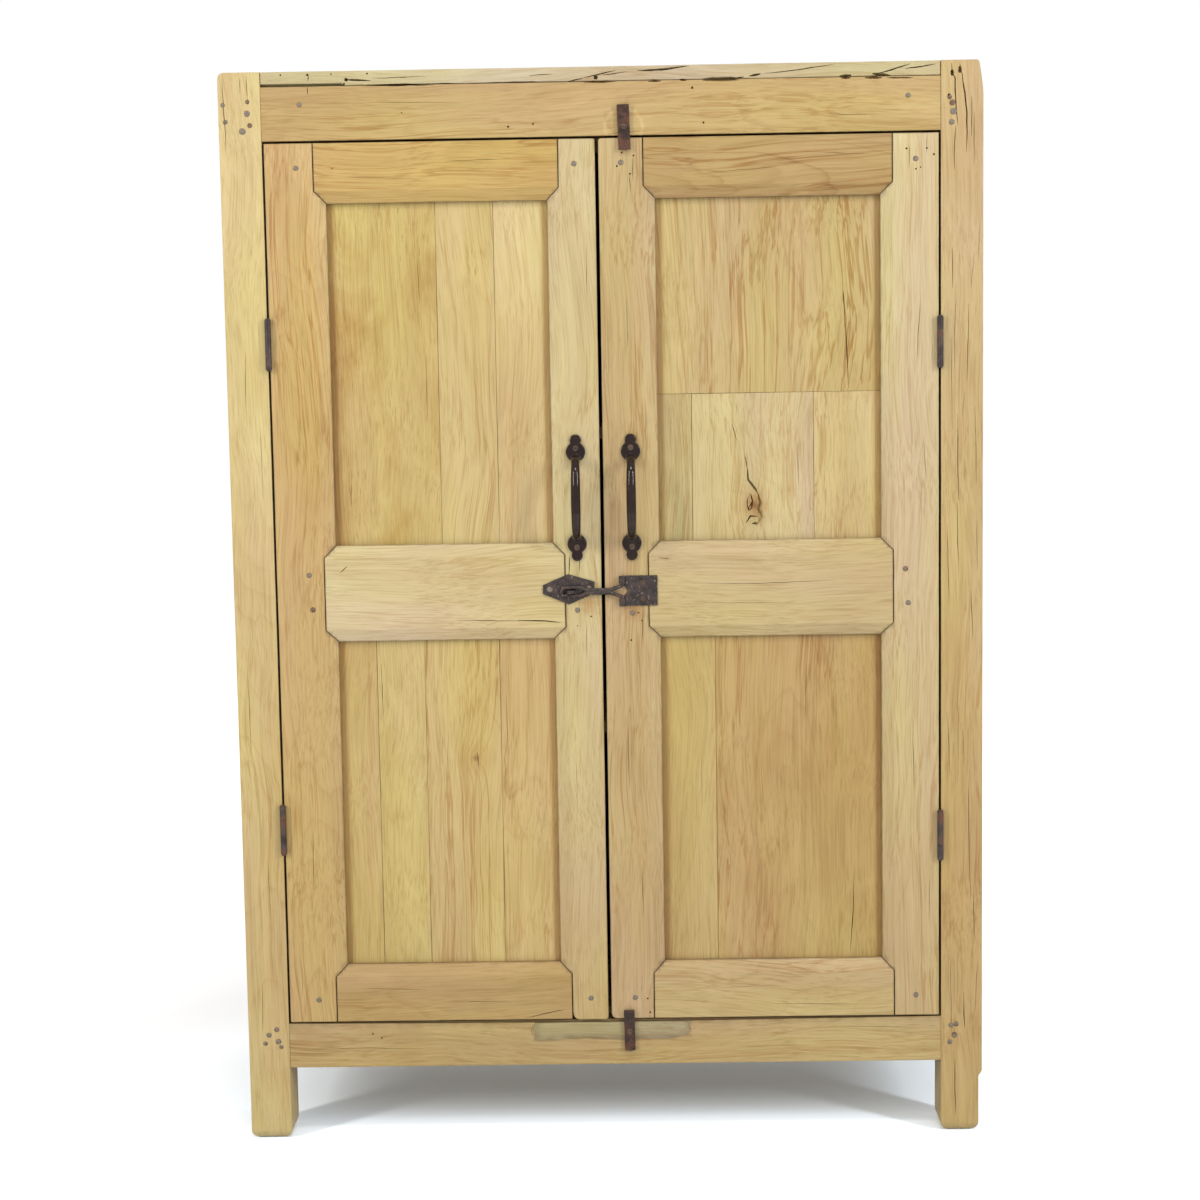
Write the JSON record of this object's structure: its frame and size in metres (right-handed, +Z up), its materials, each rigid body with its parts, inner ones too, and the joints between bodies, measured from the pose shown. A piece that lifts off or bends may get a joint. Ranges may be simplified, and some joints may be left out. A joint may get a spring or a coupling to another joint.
{
  "type": "armoire",
  "caption": "Two-door armoire of worn solid wood with framed panel doors, forged pulls, a hasp and turn buttons, on post feet.",
  "frame": {"origin": "on the floor under the middle of the whole object's box, pull handles included", "axes": "+Z up, the doors face -Y, +X to the right of someone facing the doors"},
  "size_m": [0.978, 0.468, 1.406],
  "materials": {
    "teak_frame": "scrubbed and waxed reclaimed teak, worn edges",
    "teak_inside": "scrubbed and waxed reclaimed teak, worn edges",
    "teak_repair": "grey-green filler wood, dry",
    "teak_left_door": "scrubbed and waxed reclaimed teak, worn edges",
    "teak_right_door": "scrubbed and waxed reclaimed teak, worn edges",
    "teak_panels": "scrubbed and waxed reclaimed teak, worn edges",
    "forged_iron": "forged, dark, waxed, rust in the hollows",
    "hinge_steel": "dull grey steel, lightly rusted",
    "nail_iron": "dull grey iron"
  },
  "bodies": {
    "carcass": {"front_left_post": "teak_frame", "front_right_post": "teak_frame", "rear_left_post": "teak_frame", "rear_right_post": "teak_frame", "front_top_rail": "teak_frame", "front_bottom_rail": "teak_frame", "rear_top_rail": "teak_frame", "rear_bottom_rail": "teak_frame", "left_side_top_rail": "teak_frame", "left_side_mid_rail": "teak_frame", "left_side_bottom_rail": "teak_frame", "left_side_panels": "teak_frame", "right_side_top_rail": "teak_frame", "right_side_mid_rail": "teak_frame", "right_side_bottom_rail": "teak_frame", "right_side_panels": "teak_frame", "top_boards": "teak_frame", "floor_boards": "teak_inside", "back_boards": "teak_inside", "lower_shelf": "teak_inside", "upper_shelf": "teak_inside", "cleats": "teak_inside", "door_stop": "teak_inside", "bottom_rail_patch": "teak_repair", "post_nails": "nail_iron", "back_nails": "nail_iron", "cleat_nails": "nail_iron", "post_hinge_leaves": "hinge_steel", "hinge_pins": "hinge_steel", "carcass_screws": "hinge_steel", "button_washers": "hinge_steel"},
    "left_door": {"left_door_hanging_stile": "teak_left_door", "left_door_meeting_stile": "teak_left_door", "left_door_bottom_rail": "teak_left_door", "left_door_mid_rail": "teak_left_door", "left_door_top_rail": "teak_left_door", "left_door_upper_panel": "teak_panels", "left_door_lower_panel": "teak_panels", "left_door_handle": "forged_iron", "left_door_hinge_leaves": "hinge_steel", "left_door_screws": "hinge_steel", "left_door_nails": "nail_iron", "staple_plate": "forged_iron", "padlock_staple": "forged_iron"},
    "right_door": {"right_door_hanging_stile": "teak_right_door", "right_door_meeting_stile": "teak_right_door", "right_door_bottom_rail": "teak_right_door", "right_door_mid_rail": "teak_right_door", "right_door_top_rail": "teak_right_door", "right_door_upper_panel": "teak_panels", "right_door_lower_panel": "teak_panels", "right_door_handle": "forged_iron", "right_door_hinge_leaves": "hinge_steel", "right_door_screws": "hinge_steel", "right_door_nails": "nail_iron", "hasp_hinge_plate": "forged_iron"},
    "hasp_arm": {"hasp_arm": "forged_iron"},
    "top_turn_button": {"top_turn_button": "forged_iron"},
    "bottom_turn_button": {"bottom_turn_button": "forged_iron"}
  },
  "joints": [
    {"name": "left_door_hinge", "type": "hinge", "parent": "carcass", "child": "left_door", "pos_m": [-0.4335, -0.2002, 0.74], "axis": [0, 0, -1], "range_deg": [0, 170]},
    {"name": "right_door_hinge", "type": "hinge", "parent": "carcass", "child": "right_door", "pos_m": [0.4335, -0.2002, 0.74], "axis": [0, 0, 1], "range_deg": [0, 170]},
    {"name": "hasp_hinge", "type": "hinge", "parent": "right_door", "child": "hasp_arm", "pos_m": [0.0195, -0.2009, 0.7333], "axis": [0, 0, 1], "range_deg": [0, 175]},
    {"name": "top_button_pivot", "type": "hinge", "parent": "carcass", "child": "top_turn_button", "pos_m": [0.0298, -0.196, 1.3292], "axis": [0, 1, 0], "range_deg": [-90, 90]},
    {"name": "bottom_button_pivot", "type": "hinge", "parent": "carcass", "child": "bottom_turn_button", "pos_m": [0.0204, -0.196, 0.144], "axis": [0, 1, 0], "range_deg": [-90, 90]}
  ]
}
